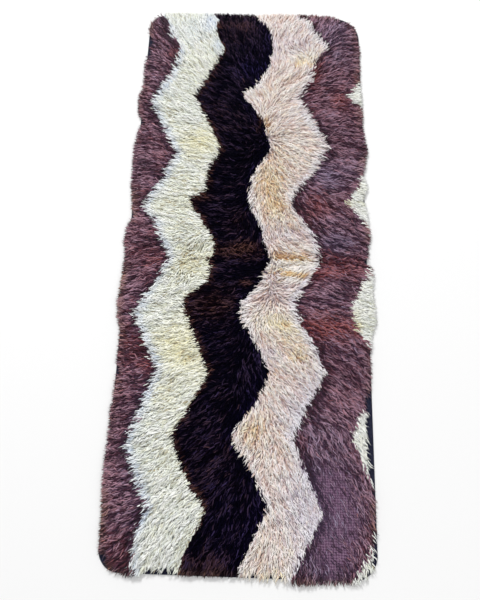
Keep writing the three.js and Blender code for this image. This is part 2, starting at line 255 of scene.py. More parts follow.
# Places that differ from the rest of their stripe. Each has its middle, how far it spreads across and
# along, the stripe, and what it adds at the middle: warmth, coolness, lightness, and how ruffled and
# upright the locks are. Those marked at the creases are painted shade in the creases and painted
# highlight and sheen on the locks that stand up there.
SPOT_FIELDS = ("x", "y", "across", "along", "stripe", "warm", "cool", "light", "ruffle")
SPOTS = (
    (60, 205, 45, 80, BEIGE, 0.78, 0, -0.02, 0.3),
    (80, 120, 35, 35, BEIGE, 0.6, 0, 0, 0.3),
    (112, 44, 75, 22, BEIGE, 0, 0.5, -0.24, 0),
    # Painted highlight: a lighter band where the locks at the crease stand up
    (110, -30, 80, 22, BEIGE, 0.35, -0.4, 0.35, 0),
    (110, -90, 70, 20, BEIGE, 0, 0.3, -0.2, 0),
    # The crease across the middle, in rows: the darker, browner ones are painted shade in the crease, the
    # lighter ones painted highlight on the locks that stand up there
    (110, -14, 74, 9, BEIGE, 0.9, 0, -0.9, 0.7),
    (108, -32, 78, 9, BEIGE, -0.7, 0, 1.6, 0.2),
    (110, -52, 68, 6, BEIGE, 1.2, 0, -0.55, 0.2),
    (110, -66, 60, 6, BEIGE, 0, 0, 0.4, 0.1),
    (62, -128, 60, 20, BEIGE, 0, 0.3, -0.42, 0),
    # At the second crease: a lighter row, painted highlight on its upright locks, and a dark spot in its
    # parting, painted shade
    (84, -188, 66, 24, BEIGE, 0.5, 0, 0.9, 0.3),
    (104, -193, 14, 9, BEIGE, 1.2, 0, -0.8, 0.4),
    (125, -240, 50, 45, BEIGE, 0.55, 0, 0.2, 0.3),
    (70, -752, 90, 12, BEIGE, 0.6, 0, 0.3, 0.2),
    (134, -270, 18, 14, BEIGE, 0.9, 0, -0.1, 0.2),
    (28, -440, 34, 34, BEIGE, 0.6, 0, 0.12, 0.4),
    (76, -271, 34, 24, BEIGE, 0, 0.5, 0, 0),
    (152, 604, 36, 24, BEIGE, 0.5, 0, 0.7, 0.4),
    (174, 582, 14, 10, BEIGE, 1.4, 0, -0.7, 0.4),
    (128, 588, 16, 6, BEIGE, 1.2, 0, -0.5, 0.2),
    (95, 670, 80, 60, BEIGE, -0.1, 0.35, -0.12, 0),
    (42, 380, 16, 26, BEIGE, 1.1, 0, -0.35, 0.1),
    (120, 300, 50, 45, BEIGE, 0.1, 0, 0.18, 0),
    (-14, -122, 16, 18, BEIGE, -0.2, 0.5, 0.3, 0.9),
    (60, -700, 60, 40, BEIGE, 0.1, 0, 0.1, 0),
    (130, -400, 45, 90, BEIGE, 0, 0.4, 0, 0),
    (130, -610, 50, 110, BEIGE, 0, 0.6, 0, 0),
    (186, 545, 20, 45, MAUVE_RIGHT, 0.7, -0.3, 0.1, 0),
    (255, 455, 28, 34, MAUVE_RIGHT, 0.7, -0.2, 0.1, 0),
    (215, 215, 50, 45, MAUVE_RIGHT, 0, 0.8, 0.26, 0),
    (200, -66, 56, 18, MAUVE_RIGHT, 0.3, 0, 0.14, 0),
    (240, -282, 55, 40, MAUVE_RIGHT, 0.1, 0, -0.18, 0),
    (212, -450, 60, 50, MAUVE_RIGHT, 0, 0.2, 0.16, 0),
    (182, -728, 60, 34, MAUVE_RIGHT, 0, 0.6, -0.16, 0),
    (235, 32, 62, 22, MAUVE_RIGHT, 0, 0.6, -0.1, 0),
    # At the crease across the middle: a dark row, painted shade in the crease, then a lighter reddish band,
    # partly painted sheen on the upright locks
    (225, -14, 75, 10, MAUVE_RIGHT, 0.8, 0, -0.5, 0.5),
    (232, -42, 72, 22, MAUVE_RIGHT, 1.0, 0, 0.2, 0.1),
    # At the second crease: a lighter reddish band, partly painted sheen on the upright locks
    (215, -196, 82, 36, MAUVE_RIGHT, 1.4, 0, 0.14, 0.3),
    (180, 130, 34, 34, MAUVE_RIGHT, 0.4, 0, -0.05, 0),
    (240, 690, 60, 60, MAUVE_RIGHT, 0, 0.6, 0, 0),
    (250, 600, 40, 40, MAUVE_RIGHT, 0, 0.4, 0.12, 0),
    (195, -600, 70, 130, MAUVE_RIGHT, 0, 0.8, 0.08, 0),
    (-240, 52, 16, 14, MAUVE_LEFT, 1.3, 0, 0, 0),
    (-268, 580, 50, 80, MAUVE_LEFT, 0, 0, -0.1, 0),
    (-265, -720, 60, 50, MAUVE_LEFT, 0.3, 0, -0.14, 0),
    (-245, -20, 40, 40, MAUVE_LEFT, 0.6, 0, 0, 0),
    (-225, 612, 22, 20, MAUVE_LEFT, 0.8, 0, 0, 0),
    (-228, -300, 30, 30, MAUVE_LEFT, 0.8, 0, 0, 0),
    (-270, -240, 50, 60, MAUVE_LEFT, 0.4, 0, -0.12, 0),
    # At the crease across the middle: darker, olive places, painted shade in the fold
    (-179, 23, 55, 10, CREAM_LEFT, 0, 0.2, -0.15, 0),
    (-140, -20, 58, 36, CREAM_LEFT, 0.35, 0.1, -0.24, 0.5),
    (-150, -55, 45, 30, CREAM_LEFT, 0.2, 0, -0.05, 0.5),
    (-150, 315, 50, 40, CREAM_LEFT, 0.7, 0, 0, 0),
    (-155, -250, 62, 75, CREAM_LEFT, 0.7, 0, 0.1, 0),
    (-180, 700, 65, 55, CREAM_LEFT, 0, 0.4, 0.1, 0),
    (-125, 728, 22, 34, CREAM_LEFT, -0.2, 1.0, 0.05, 0),
    (-105, 640, 14, 30, CREAM_LEFT, -0.2, 0.7, 0, 0),
    (-160, -320, 60, 55, CREAM_LEFT, 0.1, 0, 0.12, 0),
    (-155, -700, 80, 80, CREAM_LEFT, 0, 0.1, 0.1, 0),
    # Painted sheen: a lighter reddish-brown band on the upright locks of the crease across the middle
    (-20, 3, 66, 20, BLACK, 1.3, 0, 0.45, 0.6),
    (22, 385, 9, 34, BLACK, 1.6, -0.4, 0.55, 0.2),
    (-38, 79, 34, 30, BLACK, 0.5, 0, 0, 0),
    # Painted sheen: another lighter reddish-brown band of upright locks
    (-10, -83, 16, 10, BLACK, 1.3, 0, 0.5, 1.0),
    (-95, -140, 62, 42, BLACK, 0.9, 0, 0.1, 0.1),
    (-30, -630, 80, 100, BLACK, 0, 0.3, 0.1, 0),
    (-80, -500, 60, 80, BLACK, 0.2, 0, 0.2, 0),
    (-40, 715, 70, 34, BLACK, 0.35, -0.2, 0.3, 0),
    (-60, -730, 70, 26, BLACK, 0.4, 0, 0.4, 0),
    (0, 560, 40, 34, BLACK, 0, 1.0, -0.02, 0),
    (20, -450, 30, 50, BLACK, 0, 0.9, 0.1, 0),
    (-140, 152, 30, 16, BLACK, 1.2, 0, 0.15, 0),
    # A dark spot in the second crease's parting: painted shade
    (277, -188, 15, 13, CREAM_RIGHT, 2.0, 0, -0.85, 0),
    (272, -157, 20, 16, CREAM_RIGHT, 0.6, 0, 0.2, 0),
    (262, 140, 14, 10, CREAM_RIGHT, 1.2, 0, -0.1, 0),
)

# Places at the rim where the locks stop short of the felt's edge: middle, spread across and along, and the
# share of the locks there that do
GAP_FIELDS = ("x", "y", "across", "along", "share")
RIM_GAPS = (
    (-300, 620, 26, 42, 0.9),
    (-302, 376, 24, 14, 0.9),
    (-302, 98, 24, 15, 0.9),
    (-303, -310, 24, 18, 0.9),
    (-288, 738, 28, 26, 0.9),
    (266, 738, 34, 22, 0.8),
    (303, -8, 24, 14, 0.9),
    (301, -380, 28, 50, 0.93),
    (301, -450, 28, 60, 0.93),
    (301, -500, 26, 26, 0.9),
    (301, -690, 26, 30, 0.7),
    (-155, -748, 42, 28, 0.85),
    (70, -749, 60, 24, 0.6),
    (-286, -728, 26, 26, 0.75),
    (-262, -746, 22, 22, 0.6),
    (290, -732, 26, 22, 0.7),
)

# How steeply a gap in the rim begins and ends. Its short locks come in clumps, which neighbours along the
# rim share. Past this far from the middle, the rim is that of an end.
GAP_EDGE = (0.15, 0.45)
CLUMP_SHARES = {"neighbours": 0.65, "lock": 0.35}
CLUMP_STEEPNESS = 2.4
RIM_END_START = 720

# How far inside the outline the tips stop, and how much further they do at the near end
TIP_INSETS = {"short": (17, 24), "long": (-3, 2.5)}
NEAR_END = {"start": -690, "full": -730, "short": 2, "long": 3}

# Where the tips at the near end reach past the felt between the short locks
NEAR_TIPS = {"x": 68, "spread": 52, "reach": 8}

# How the locks differ beside a border, by stripe: pale tips where a stripe lies over the next one, and
# brown ones where black tips lie over cream. The locks under those tips are darkened with painted shade,
# which makes the dark gaps. The cream's cool fringe over the mauve is partly painted bluish shade, and the
# cream at the right rim is lighter with painted light.
FRINGE_FIELDS = ("stripe", "border", "middle", "width", "warm", "cool", "light")
FRINGES = (
    # Painted shade: mauve darkened under the cream's tips
    (MAUVE_LEFT, "a", -13, 14, 0.0, 0.2, -0.45),
    # Partly painted bluish shade on the cream's fringe over the mauve
    (CREAM_LEFT, "a", -4, 12, -0.3, 0.75, 0.1),
    # Painted shade: cream darkened under the black's tips
    (CREAM_LEFT, "b", -2, 8, 0.2, 0.0, -0.35),
    (BLACK, "b", -4, 6, 1.0, -0.4, 0.2),
    # Painted shade: black darkened under the beige's tips
    (BLACK, "c", -10, 16, -0.2, 0.4, -0.2),
    (BEIGE, "c", 0, 10, -0.3, 0.3, 0.2),
    (BEIGE, "d", 4, 13, -0.4, 0.5, 0.25),
    # Painted shade: mauve darkened under the beige's tips
    (MAUVE_RIGHT, "d", 12, 14, 0.2, 0.0, -0.5),
    # Painted light: the cream at the right rim made lighter
    (CREAM_RIGHT, "e", 14, 32, 0.0, 0.1, 0.5),
)

# Tan tips of the dark locks. They are inside the outline by these distances, fully and at all, and come
# unevenly, more of them towards the near end. The colours run from root to tip.
TAN_REACH = (1, 15)
TAN_SHARES = {"everywhere": 0.55, "uneven": 0.7, "near_end": 0.4}
TAN_NEAR_END = (-350, -650)
TAN_OF_BLACK = 0.35
TAN_SPREAD = (0.3, 1)
TAN = ((26, 12, 8), (98, 68, 46), (184, 150, 112))

# The locks: how far apart their roots are, how far they reach, and how wide they are. The top layer is of
# longer locks that bend twice, and the under layer of shorter ones that bend once. The under layer's lower
# light is painted shade under the top layer.
LAYERS = {
    "top": {
        "pitch": 4.45,
        "run": 26.0,
        "widths": (1.6, 1.05),
        "rings": (0.3, 0.66),
        "lift": (4.2, 5.8),
        "tip_lift": 3.6,
        "light": 0.62,
        "seeds": {"paths": 100, "roots": 101, "stripe": 17, "tint": 7, "tan": 27},
    },
    "under": {
        "pitch": 4.2,
        "run": 19.0,
        "widths": (1.65,),
        "rings": (0.42,),
        "lift": (3.0,),
        "tip_lift": 1.6,
        "light": 0.25,
        "seeds": {"paths": 200, "roots": 201, "stripe": 18, "tint": 8, "tan": 28},
    },
}
LOCK_FLATNESS = 0.65
LOCK_SIDES = 3
SHORTEST_RUN = 4
RUN_TRIMS = 3
STRIPE_SEED_STEP = 31

# How locks differ from one another: the least and most of a share, and how far they stray. The way is in
# degrees, the tip in millimetres, and the bend and the wave are shares of the run.
LOCK_SPREADS = {"run": (0.72, 1.2), "lift": (0.75, 1.2), "width": (0.75, 1.3)}
LOCK_STRAYS = {"way": 7, "bend": 0.12, "wave": 0.07, "tip": 1.5}

# What is added to each share where the pile is ruffled, and how ruffled it is where the ways that it lies
# don't agree
RUFFLED_ADDS = {"way": 6, "run": -0.4, "lift": 0.6}
MEETING_RUFFLE = {"most": 0.9, "agree": (0.05, 0.75)}

# The roots: the field in which they are sought, how close rows are to one another beside columns, how far a
# root strays as a share of the pitch, how far inside the outline it is, also at gaps in the rim, and its
# depth in the bed
ROOT_FIELD = {"across": 340, "along": 770}
ROOT_ROW_SHARE = 0.87
ROOT_STRAY = 0.45
ROOT_INSET = 12
GAP_INSET = 9
ROOT_DEPTH = 1.2

# Heights: the pile over its bed, also where it is pressed down, where the bed rises from the rim and how
# steeply, the least height of a lock, and that of one which hangs over the rim
PILE_OVER_BED = 7.0
WORN_PILE_OVER_BED = 2.2
BED_RISE = (6, 44)
BED_RISE_POWER = 0.8
LEAST_HEIGHT = 3.0
RIM_TIP = {"inset": 6, "height": 1.2}

# Long tufts along the pile's flow: the steps that follow the flow, how soft their sides are, how far the
# locks are drawn towards a tuft's middle, where in the rug they are, where on a lock that is read, and how
# it lifts them
TUFT_STEP = 6.0
TUFT_STEPS = 4
TUFT_SOFTNESS = 0.5
TUFT_PULL = 3.0
TUFT_PULL_STEEPNESS = 1.5
TUFT_PULL_INSETS = (8, 30)
TUFT_PROBE = {"along": 0.6, "beside": 2.5}
TUFT_LIFT = 0.3

# Beside this border the locks aren't drawn into tufts, so that it is a clean line
CLEAN_BORDER = {"border": "b", "middle": 0, "width": 16, "share": 0.85}

# Where along a lock its stripe is read, and what makes a ragged border stray
SEEN_AT = 0.55
RAGGED_SHARES = {"neighbours": 0.7, "lock": 0.5}

# What makes one lock lighter than another, and how much warmer or cooler whole places are than single locks.
# The tufts' share is painted shade in the partings between tufts and painted highlight along their middles.
LIGHT_SHARES = {"lock": 0.18, "tuft": 0.16, "fine": 0.1, "coarse": 0.08}
WARM_PLACES = 1.2
COOL_PLACES = 1.5

# The bed's mesh: the radius of its corners, rows in a corner and between corners, cells across each stripe,
# and the least width of a stripe
BED_CORNER = 58
CORNER_ROWS = 8
STRAIGHT_ROWS = 140
BED_CELLS = (6, 12, 12, 13, 12, 2)
LEAST_STRIPE = 1.0

# How far the bed stops inside the outline: where the pile is full, and at the gaps in its rim
BED_INSETS = (13, 28)

# Each plush: its sRGB colours from the root of a lock to its tip, also in warm and in cool places, its
# shine, how much its locks differ in lightness and in hue, and how much lighter they are than others. The
# dark root colours are painted shade deep in the pile and the pale tip colours painted highlight; the
# cream's cool colours are partly painted bluish shade.
PLUSH = {
    "mauve": {
        "plain": ((10, 0, 12), (76, 38, 60), (186, 144, 162)),
        "warm": ((28, 0, 4), (104, 32, 38), (176, 98, 94)),
        "cool": ((18, 6, 36), (88, 64, 94), (178, 160, 188)),
        "shine": 0.25,
        "contrast": 1.6,
        "mottled": 0.2,
        "lighter": -0.02,
    },
    "cream": {
        "plain": ((172, 152, 104), (244, 248, 234), (255, 255, 252)),
        "warm": ((160, 116, 44), (248, 240, 190), (255, 253, 224)),
        "cool": ((104, 112, 142), (212, 224, 242), (250, 253, 255)),
        "shine": 0.4,
        "contrast": 1.45,
        "mottled": 0.13,
        "lighter": 0.09,
    },
    "black": {
        "plain": ((0, 0, 8), (2, 0, 18), (60, 46, 68)),
        "warm": ((2, 0, 4), (26, 7, 14), (104, 70, 62)),
        "cool": ((0, 0, 6), (6, 2, 32), (60, 52, 104)),
        "shine": 0.03,
        "contrast": 1.8,
        "mottled": 0.14,
        "lighter": -0.3,
    },
    "beige": {
        "plain": ((156, 98, 76), (240, 218, 210), (255, 251, 246)),
        "warm": ((122, 58, 12), (234, 192, 134), (255, 245, 208)),
        "cool": ((128, 108, 128), (222, 214, 228), (250, 248, 254)),
        "shine": 0.4,
        "contrast": 1.2,
        "mottled": 0.2,
        "lighter": 0.11,
    },
}

# How a lock's place on its ramp of colours follows from its lightness and from how far along the lock it is:
# along the lock it runs from painted shade at the root to painted highlight at the tip
RAMP_SHARES = {"along": 0.35, "light": 0.75}

# The fine fibres of the yarn: how often they come round a lock and along it, how locks differ, the scale
# and the base by which they change the lightness and the roughness, and the sheen as a share of the shine
FIBRE_STRETCH = {"round": 9.0, "along": 1.6, "lock": 3.7}
FIBRE_VALUE = (0.6, 0.7)
FIBRE_ROUGHNESS = (0.3, 0.45)
SHEEN_OF_SHINE = 0.2

# The knit under the pile, in metres: the pitch of its stitches and how far they waver, then the shares of
# fuzz and stitches in its height, how cool it is, and how far its highest places are on the way to the
# tips' colour. Its colour is darker in its low places, painted shade, and paler on its highest, painted
# highlight.
KNIT_PITCH = 0.0055
KNIT_WOBBLE = 0.005
KNIT_SHARES = {"fuzz": 0.9, "stitches": 0.5}
KNIT_COOL = 0.6
KNIT_TOP = 0.6

# The felt: sRGB colours from its pits to its highest fibres, each with its place on the ramp. The darker
# pits are painted shade.
FELT_STOPS = ((0.3, (4, 4, 18)), (0.6, (14, 14, 34)), (0.95, (44, 46, 66)))
NEEDLE_SHARE = 0.5


def rng(seed):
    return np.random.default_rng(seed)


def smooth(low, high, value):
    """From 0 at low to 1 at high, level at both."""
    share = np.clip((value - low) / (high - low), 0, 1)
    return share * share * (3 - 2 * share)


def mix(low, high, share):
    return low + (high - low) * share


def bell(value):
    """From 1 at nought down to 0 far from it."""
    return np.exp(-value * value)


def rows_of(fields, table):
    """The rows of a table, each as a dictionary from field to value."""
    return [dict(zip(fields, values)) for values in table]


def noise(x, y, name):
    """The named smooth noise, from -1 to 1."""
    size, seed = NOISES[name]
    cells = 512
    lattice = rng(seed).uniform(-1, 1, (cells, cells))
    u = x / size + cells / 2
    v = y / size + cells / 2
    i = np.floor(u).astype(int)
    j = np.floor(v).astype(int)
    across = smooth(0, 1, u - i)
    along = smooth(0, 1, v - j)
    near = mix(lattice[i % cells, j % cells], lattice[(i + 1) % cells, j % cells], across)
    far = mix(lattice[i % cells, (j + 1) % cells], lattice[(i + 1) % cells, (j + 1) % cells], across)
    return mix(near, far, along)


def border(name, y):
    """Where a stripe's border is across the rug at y, straight from turn to turn."""
    turns = np.array(BORDERS[name], float)
    return np.interp(y, turns[:, TURN_FIELDS.index("y")], turns[:, TURN_FIELDS.index("x")])


def near_border(x, y, name, middle, width):
    """How near a place is to a line that runs beside a border, from 0 to 1."""
    return bell((x - border(name, y) - middle) / width)


def stripe_at(x, y, wander=0.0):
    """The stripe at each place, from 0 at the left. Wander, from -1 to 1, is how far astray borders are."""
    index = np.zeros(len(x), int)
    for stripe in STRIPES[1:]:
        index += x + stripe["ragged"] * wander > border(stripe["border"], y)
    return index


def outline(name, along):
    """The rug's reach to that side or end, smooth from place to place."""
    fields, table = (SIDE_FIELDS, SIDES) if name in SIDE_FIELDS else (END_FIELDS, ENDS)
    columns = np.array(table, float)
    places, reach = columns[:, 0], columns[:, fields.index(name)]
    index = np.clip(np.searchsorted(places, along) - 1, 0, len(places) - 2)
    share = smooth(0, 1, (along - places[index]) / (places[index + 1] - places[index]))
    return mix(reach[index], reach[index + 1], share)


def inside(x, y):
    """How far a place lies inside the rug's outline, which has round corners."""
    across = np.minimum(x - outline("left", y), outline("right", y) - x)
    along = np.minimum(y - outline("near", x), outline("far", x) - y)
    radius = np.where(
        y < 0,
        np.where(x < 0, CORNER_RADII["near_left"], CORNER_RADII["near_right"]),
        np.where(x < 0, CORNER_RADII["far_left"], CORNER_RADII["far_right"]),
    )
    corner = radius - np.hypot(radius - across, radius - along)
    in_corner = (across < radius) & (along < radius)
    return np.where(in_corner, corner, np.minimum(across, along))


def rim_gap(x, y):
    """The share of the locks that stop short at the rim."""
    gap = 0.0 * x
    for place in rows_of(GAP_FIELDS, RIM_GAPS):
        off = ((x - place["x"]) / place["across"]) ** 2 + ((y - place["y"]) / place["along"]) ** 2
        gap = np.maximum(gap, place["share"] * smooth(*GAP_EDGE, np.exp(-off)))
    return gap


def rim_clump(x, y, stray):
    """The clump of the rim that a tip belongs to, from 0 to 1. Neighbours along the rim share it."""
    along_rim = np.where(np.abs(y) > RIM_END_START, x, y)
    shared = noise(along_rim, 0 * along_rim, "clump")
    clump = CLUMP_SHARES["neighbours"] * shared + CLUMP_SHARES["lock"] * stray
    return 0.5 + 0.5 * np.tanh(CLUMP_STEEPNESS * clump)


def lump(x, y):
    """The lumps of matted tufts, from -1 to 1."""
    wander = RIDGE_WANDER * sum(np.sin(wave["along_x"] * x + wave["along_y"] * y) for wave in WANDER_WAVES)
    ridge = np.sin(2 * np.pi * (y + wander) / RIDGE_PITCH)
    breaks = np.sin(2 * np.pi * x / BREAK_PITCH + BREAK_DRIFT * np.sin(BREAK_DRIFT_WAVE * y))
    ridges = ridge * (LUMP_SHARES["ridge"] + LUMP_SHARES["broken_ridge"] * breaks)
    return ridges + LUMP_SHARES["breaks"] * breaks


def worn(x, y):
    """How far the pile is pressed down, from 0 to 1."""
    across = (x - WORN_PATCH["x"]) / WORN_PATCH["half_width"]
    along = (y - WORN_PATCH["y"]) / WORN_PATCH["half_length"]
    return 1 - smooth(WORN_FLAT_SHARE, WORN_END_SHARE, np.hypot(across, along))


def pile_top(x, y):
    """The height of the pile's top, which falls at the rim, in creases and where it is pressed down."""
    crown = smooth(0, CROWN_WIDTH, inside(x, y) - SHOULDER_INSET)
    pressed = worn(x, y)
    lumps = LUMP_HEIGHT * mix(LUMP_SHARE_AT_SHOULDER, 1, crown) * (1 - WORN_LESS["lumps"] * pressed)
    height = mix(SHOULDER_HEIGHT, PILE_HEIGHT - LUMP_HEIGHT, crown) + lumps * lump(x, y)
    height -= WORN_PATCH["depth"] * pressed * crown
    for crease in CREASES:
        off = (y - crease["y"] - crease["slant"] * x) / crease["half_width"]
        height -= crease["depth"] * mix(CREASE_SHARE_AT_SHOULDER, 1, crown) * bell(off)
    return height


def bed_top(x, y):
    """The height of the matted body of the pile, in which the locks have their roots."""
    over = mix(PILE_OVER_BED, WORN_PILE_OVER_BED, worn(x, y))
    rise = smooth(*BED_RISE, inside(x, y)) ** BED_RISE_POWER
    return mix(LEAST_HEIGHT, pile_top(x, y) - over, rise)


def spot_share(x, y, spot):
    """How much of a spot is at each place, from 0 to 1."""
    return bell(np.hypot((x - spot["x"]) / spot["across"], (y - spot["y"]) / spot["along"]))


def lie(x, y):
    """The way the pile lies at each place, as an angle, and how far its ways agree there, from 0 to 1."""
    rows = np.array(sorted(FLOW))
    angles = np.radians([FLOW[row] for row in rows])
    columns = np.array(FLOW_X, float)
    x = x + FLOW_WANDER["aside"] * noise(x, y, "flow_aside")
    i = np.clip(np.searchsorted(columns, x) - 1, 0, len(columns) - 2)
    j = np.clip(np.searchsorted(rows, y) - 1, 0, len(rows) - 2)
    across = np.clip((x - columns[i]) / (columns[i + 1] - columns[i]), 0, 1)
    along = np.clip((y - rows[j]) / (rows[j + 1] - rows[j]), 0, 1)
    parts = []
    for part in (np.cos(angles), np.sin(angles)):
        near = mix(part[j, i], part[j, i + 1], across)
        far = mix(part[j + 1, i], part[j + 1, i + 1], across)
        parts.append(mix(near, far, along))
    angle = np.arctan2(parts[1], parts[0])
    for wander in ("slow", "quick"):
        angle += np.radians(FLOW_WANDER[wander]) * noise(x, y, "flow_" + wander)
    for swirl in rows_of(SWIRL_FIELDS, SWIRLS):
        away = np.hypot(x - swirl["x"], y - swirl["y"]) / swirl["radius"]
        angle += math.radians(swirl["turn"]) * bell(away)
    return angle, np.hypot(*parts)


def tufts(x, y):
    """Long tufts along the pile's flow: from -1 in the partings between them to 1 along their middles."""
    total = noise(x, y, "tuft")
    for sense in (-1, 1):
        place_x, place_y = x, y
        for _ in range(TUFT_STEPS):
            angle, _ = lie(place_x, place_y)
            place_x = place_x + sense * TUFT_STEP * np.cos(angle)
            place_y = place_y + sense * TUFT_STEP * np.sin(angle)
            total = total + noise(place_x, place_y, "tuft")
    return np.tanh(total / (TUFT_SOFTNESS * math.sqrt(2 * TUFT_STEPS + 1)))


def ruffled_at(x, y, agree):
    """How ruffled and upright the locks are, from 0 to 1: in spots, and where the ways of the pile meet."""
    stripe = stripe_at(x, y)
    ruffled = np.zeros(len(x))
    for spot in rows_of(SPOT_FIELDS, SPOTS):
        share = np.where(stripe == spot["stripe"], spot_share(x, y, spot), 0)
        ruffled = np.maximum(ruffled, spot["ruffle"] * share)
    meeting = 1 - smooth(*MEETING_RUFFLE["agree"], agree)
    return np.clip(ruffled + MEETING_RUFFLE["most"] * meeting, 0, 1)


def lock_roots(pitch, seed):
    """Places for the locks' roots: an uneven grid over the rug, thinner where the pile is pressed down."""
    random = rng(seed)
    columns = np.arange(-ROOT_FIELD["across"], ROOT_FIELD["across"], pitch)
    rows = np.arange(-ROOT_FIELD["along"], ROOT_FIELD["along"], pitch * ROOT_ROW_SHARE)
    x, y = np.meshgrid(columns, rows)
    x = x + pitch / 2 * (np.arange(len(rows)) % 2)[:, None]
    x = (x + random.uniform(-ROOT_STRAY, ROOT_STRAY, x.shape) * pitch).ravel()
    y = (y + random.uniform(-ROOT_STRAY, ROOT_STRAY, y.shape) * pitch).ravel()
    bare = WORN_LESS["locks"] * worn(x, y) * smooth(0, WORN_FROM_BORDER, x - border("d", y))
    inset = ROOT_INSET + GAP_INSET * rim_gap(x, y)
    kept = (inside(x, y) > inset) & (random.uniform(0, 1, x.size) > bare)
    return np.stack([x[kept], y[kept]], axis=1)


def trimmed_runs(random, root, ahead, run):
    """How far the locks run, for their tips to stop at the rim: short of it in the clumps at its gaps."""
    x, y = root.T
    tip = root + run[:, None] * ahead
    clump = rim_clump(*tip.T, random.uniform(-1, 1, len(run)))
    short = clump < rim_gap(x, y)
    short_inset = random.uniform(*TIP_INSETS["short"], len(run))
    long_inset = random.uniform(*TIP_INSETS["long"], len(run))
    reach = NEAR_TIPS["reach"] * bell((x - NEAR_TIPS["x"]) / NEAR_TIPS["spread"])
    at_near_end = smooth(NEAR_END["start"], NEAR_END["full"], y)
    inset = np.where(short, short_inset, long_inset)
    inset += at_near_end * np.where(short, NEAR_END["short"], NEAR_END["long"] - reach)
    for _ in range(RUN_TRIMS):
        tip = root + run[:, None] * ahead
        run = np.maximum(SHORTEST_RUN, run - np.maximum(0, inset - inside(*tip.T)))
    return run


def drawn_aside(root, middle, beside, pressed):
    """How far the locks are drawn aside towards the middles of their tufts."""
    left_of = middle + TUFT_PROBE["beside"] * beside
    right_of = middle - TUFT_PROBE["beside"] * beside
    drawn = TUFT_PULL * np.tanh(TUFT_PULL_STEEPNESS * (tufts(*left_of.T) - tufts(*right_of.T)))
    clean = near_border(*middle.T, CLEAN_BORDER["border"], CLEAN_BORDER["middle"], CLEAN_BORDER["width"])
    drawn *= smooth(*TUFT_PULL_INSETS, inside(*root.T)) * (1 - WORN_LESS["pull"] * pressed)
    return drawn * (1 - CLEAN_BORDER["share"] * clean)


def lock_paths(layer):
    """The paths and widths of one layer's locks, and how near each is to the middle of its tuft."""
    random = rng(layer["seeds"]["paths"])
    root = lock_roots(layer["pitch"], layer["seeds"]["roots"])
    count = len(root)
    angle, agree = lie(*root.T)
    ruffled = ruffled_at(*root.T, agree)
    pressed = worn(*root.T)
    angle += np.radians(LOCK_STRAYS["way"]) * random.normal(size=count) * (1 + RUFFLED_ADDS["way"] * ruffled)
    ahead = np.stack([np.cos(angle), np.sin(angle)], axis=1)
    beside = np.stack([-np.sin(angle), np.cos(angle)], axis=1)
    run = layer["run"] * random.uniform(*LOCK_SPREADS["run"], count)
    run = run * (1 + RUFFLED_ADDS["run"] * ruffled) * (1 - WORN_LESS["run"] * pressed)
    run = trimmed_runs(random, root, ahead, run)
    middle = root + TUFT_PROBE["along"] * run[:, None] * ahead
    tuft = tufts(*middle.T)
    bend = run * random.normal(0, LOCK_STRAYS["bend"], count) + drawn_aside(root, middle, beside, pressed)
    wave = run * random.normal(0, LOCK_STRAYS["wave"], count)
    lift_scale = random.uniform(*LOCK_SPREADS["lift"], count) * (1 + TUFT_LIFT * tuft)
    lift_scale = lift_scale * (1 + RUFFLED_ADDS["lift"] * ruffled) * (1 - WORN_LESS["lift"] * pressed)
    tip_stray = LOCK_STRAYS["tip"] * random.normal(size=count) * (1 - WORN_LESS["tip"] * pressed)
    points = []
    for share, lift in zip((0, *layer["rings"], 1), (-ROOT_DEPTH, *layer["lift"], layer["tip_lift"])):
        aside = bend * share * share + wave * math.sin(2 * math.pi * share)
        place = root + (run * share)[:, None] * ahead + aside[:, None] * beside
        height = bed_top(*place.T) + lift * np.where(lift > 0, lift_scale, 1) + (share == 1) * tip_stray
        lowest = np.where(inside(*place.T) < RIM_TIP["inset"], RIM_TIP["height"], LEAST_HEIGHT)
        points.append(np.column_stack([place, np.maximum(height, lowest)]))
    widths = np.array(layer["widths"]) * random.uniform(*LOCK_SPREADS["width"], (count, 1))
    return np.stack(points, axis=1), widths * (1 - WORN_LESS["width"] * pressed[:, None]), tuft


def stripes_of(path, seed):
    """The stripe that each lock shows in. It is read near the middle of the lock."""
    x, y, _ = mix(path[:, 0], path[:, -1], SEEN_AT).T
    astray = RAGGED_SHARES["neighbours"] * noise(x, y, "ragged")
    astray += RAGGED_SHARES["lock"] * rng(seed).uniform(-1, 1, len(x))
    return stripe_at(x, y, astray * (1 - WORN_LESS["ragged"] * worn(x, y)))


